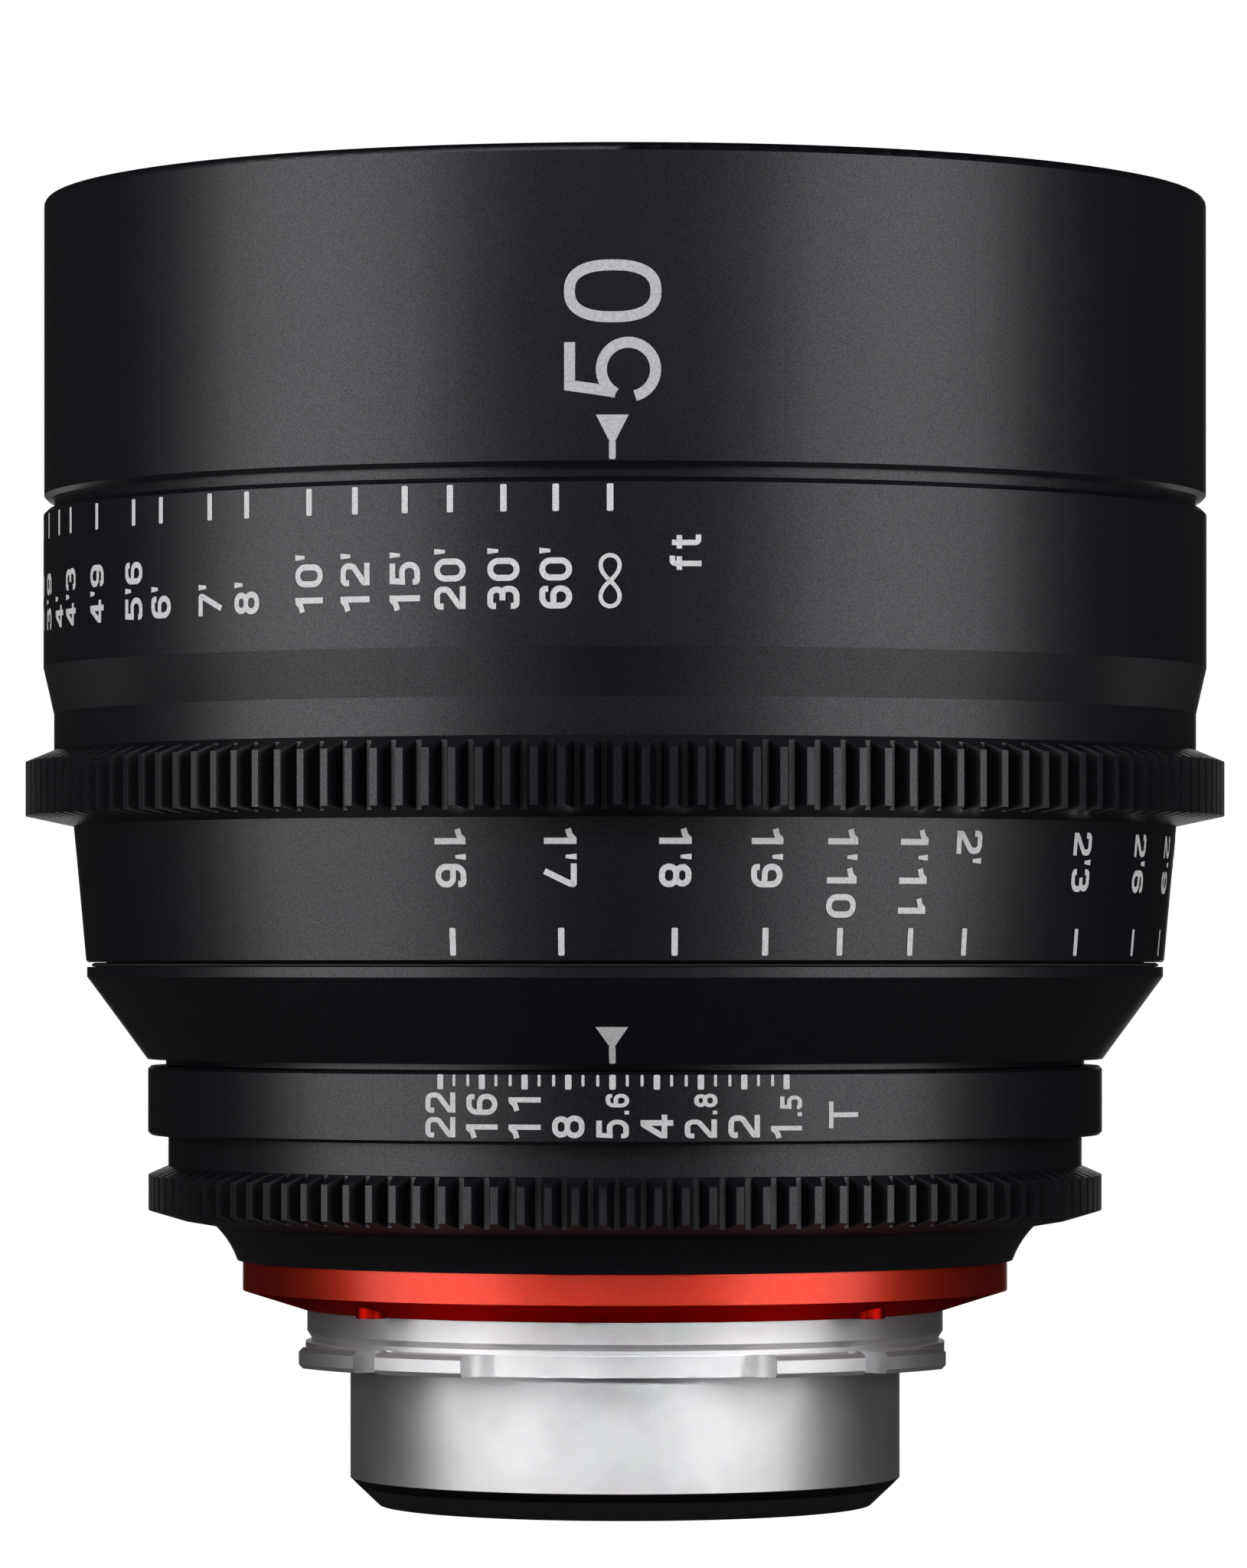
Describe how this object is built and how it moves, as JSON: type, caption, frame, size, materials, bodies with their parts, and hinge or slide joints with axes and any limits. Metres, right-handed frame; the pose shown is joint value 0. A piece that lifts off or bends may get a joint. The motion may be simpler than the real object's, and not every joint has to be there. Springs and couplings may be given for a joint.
{
  "type": "cinema prime lens",
  "caption": "Cinema prime lens: geared focus and iris rings, four-lug camera mount, flared barrel with filter thread; focus cam shifts the glass, iris ring closes the blades",
  "frame": {"origin": "centre of the mount's seating plane, which presses on the camera's flange", "axes": "+Z along the optical axis from the camera to the front rim, so the lens stands on its mount; -Y is the side with the index marks, +X to the viewer's right"},
  "size_m": [0.1176, 0.1176, 0.1278],
  "materials": {
    "anodised_black": "fine bead-blasted black anodising",
    "inner_black": "matt black anodising of the inner parts",
    "anodised_red": "satin red anodising over turned metal",
    "steel": "turned stainless steel",
    "blade_black": "thin spring steel, matt black coat",
    "glide_plastic": "pale low-friction plastic",
    "coated_glass": "optical glass with anti-reflection coats"
  },
  "bodies": {
    "barrel": {"pl_mount": "steel", "flange_shim": "steel", "mount_screws": "steel", "rear_baffle": "inner_black", "red_ring": "anodised_red", "red_ring_screws": "steel", "rear_collar": "anodised_black", "inner_barrel": "inner_black", "rear_barrel": "anodised_black", "rear_barrel_screws": "steel", "rear_glide_ring": "glide_plastic", "front_barrel": "anodised_black", "front_barrel_screws": "steel", "front_glide_ring": "anodised_black", "front_baffle": "inner_black", "focus_stop_pin": "steel"},
    "focus_ring": {"focus_ring": "anodised_black", "focus_gear": "anodised_black", "near_scale_ring": "anodised_black", "focus_cam": "inner_black", "focus_cam_screws": "steel"},
    "iris_ring": {"iris_ring": "anodised_black", "iris_gear": "anodised_black", "iris_drive_arm": "steel"},
    "optical_cell": {"front_cell": "inner_black", "rear_cell": "inner_black", "rear_guard": "inner_black", "cam_followers": "steel", "front_retainer": "inner_black", "spacer_1_2": "inner_black", "spacer_2_3": "inner_black", "doublet_retainer": "inner_black", "spacer_8_9": "inner_black", "rear_retainer": "inner_black", "iris_housing": "inner_black", "iris_cover": "inner_black", "element_1": "coated_glass", "element_2": "coated_glass", "element_3": "coated_glass", "element_4": "coated_glass", "element_5": "coated_glass", "element_6": "coated_glass", "element_7": "coated_glass", "element_8": "coated_glass", "element_9": "coated_glass"},
    "iris_actuator": {"iris_actuator": "inner_black"},
    "iris_blade_01": {"iris_blade_01": "blade_black"},
    "iris_blade_02": {"iris_blade_02": "blade_black"},
    "iris_blade_03": {"iris_blade_03": "blade_black"},
    "iris_blade_04": {"iris_blade_04": "blade_black"},
    "iris_blade_05": {"iris_blade_05": "blade_black"},
    "iris_blade_06": {"iris_blade_06": "blade_black"},
    "iris_blade_07": {"iris_blade_07": "blade_black"},
    "iris_blade_08": {"iris_blade_08": "blade_black"},
    "iris_blade_09": {"iris_blade_09": "blade_black"},
    "iris_blade_10": {"iris_blade_10": "blade_black"},
    "iris_blade_11": {"iris_blade_11": "blade_black"}
  },
  "joints": [
    {"name": "focus_turn", "type": "hinge", "parent": "barrel", "child": "focus_ring", "pos_m": [0, 0, 0.067], "axis": [0, 0, 1], "range_deg": [0, 200]},
    {"name": "iris_turn", "type": "hinge", "parent": "barrel", "child": "iris_ring", "pos_m": [0, 0, 0.0215], "axis": [0, 0, 1], "range_deg": [-20, 20]},
    {"name": "cell_slide", "type": "slide", "parent": "barrel", "child": "optical_cell", "axis": [0, 0, 1], "range_m": [0, 0.0075]},
    {"name": "actuator_turn", "type": "hinge", "parent": "optical_cell", "child": "iris_actuator", "pos_m": [0, 0, 0.0397], "axis": [0, 0, 1], "range_deg": [-20, 20]},
    {"name": "iris_blade_01_turn", "type": "hinge", "parent": "optical_cell", "child": "iris_blade_01", "pos_m": [0.024, 0, 0.0373], "axis": [0, 0, 1], "range_deg": [-17.3, 17.3]},
    {"name": "iris_blade_02_turn", "type": "hinge", "parent": "optical_cell", "child": "iris_blade_02", "pos_m": [0.02019, 0.01298, 0.03744], "axis": [0, 0, 1], "range_deg": [-17.3, 17.3]},
    {"name": "iris_blade_03_turn", "type": "hinge", "parent": "optical_cell", "child": "iris_blade_03", "pos_m": [0.00997, 0.02183, 0.03758], "axis": [0, 0, 1], "range_deg": [-17.3, 17.3]},
    {"name": "iris_blade_04_turn", "type": "hinge", "parent": "optical_cell", "child": "iris_blade_04", "pos_m": [-0.00342, 0.02376, 0.03772], "axis": [0, 0, 1], "range_deg": [-17.3, 17.3]},
    {"name": "iris_blade_05_turn", "type": "hinge", "parent": "optical_cell", "child": "iris_blade_05", "pos_m": [-0.01572, 0.01814, 0.03786], "axis": [0, 0, 1], "range_deg": [-17.3, 17.3]},
    {"name": "iris_blade_06_turn", "type": "hinge", "parent": "optical_cell", "child": "iris_blade_06", "pos_m": [-0.02303, 0.00676, 0.038], "axis": [0, 0, 1], "range_deg": [-17.3, 17.3]},
    {"name": "iris_blade_07_turn", "type": "hinge", "parent": "optical_cell", "child": "iris_blade_07", "pos_m": [-0.02303, -0.00676, 0.03814], "axis": [0, 0, 1], "range_deg": [-17.3, 17.3]},
    {"name": "iris_blade_08_turn", "type": "hinge", "parent": "optical_cell", "child": "iris_blade_08", "pos_m": [-0.01572, -0.01814, 0.03828], "axis": [0, 0, 1], "range_deg": [-17.3, 17.3]},
    {"name": "iris_blade_09_turn", "type": "hinge", "parent": "optical_cell", "child": "iris_blade_09", "pos_m": [-0.00342, -0.02376, 0.03842], "axis": [0, 0, 1], "range_deg": [-17.3, 17.3]},
    {"name": "iris_blade_10_turn", "type": "hinge", "parent": "optical_cell", "child": "iris_blade_10", "pos_m": [0.00997, -0.02183, 0.03856], "axis": [0, 0, 1], "range_deg": [-17.3, 17.3]},
    {"name": "iris_blade_11_turn", "type": "hinge", "parent": "optical_cell", "child": "iris_blade_11", "pos_m": [0.02019, -0.01298, 0.0387], "axis": [0, 0, 1], "range_deg": [-17.3, 17.3]}
  ],
  "couplings": [
    {"joint": "cell_slide", "follows": "focus_turn", "m_per_rad": 0.0021486},
    {"joint": "actuator_turn", "follows": "iris_turn", "ratio": 1},
    {"joint": "iris_blade_01_turn", "follows": "iris_turn", "ratio": 0.86},
    {"joint": "iris_blade_02_turn", "follows": "iris_turn", "ratio": 0.86},
    {"joint": "iris_blade_03_turn", "follows": "iris_turn", "ratio": 0.86},
    {"joint": "iris_blade_04_turn", "follows": "iris_turn", "ratio": 0.86},
    {"joint": "iris_blade_05_turn", "follows": "iris_turn", "ratio": 0.86},
    {"joint": "iris_blade_06_turn", "follows": "iris_turn", "ratio": 0.86},
    {"joint": "iris_blade_07_turn", "follows": "iris_turn", "ratio": 0.86},
    {"joint": "iris_blade_08_turn", "follows": "iris_turn", "ratio": 0.86},
    {"joint": "iris_blade_09_turn", "follows": "iris_turn", "ratio": 0.86},
    {"joint": "iris_blade_10_turn", "follows": "iris_turn", "ratio": 0.86},
    {"joint": "iris_blade_11_turn", "follows": "iris_turn", "ratio": 0.86}
  ]
}
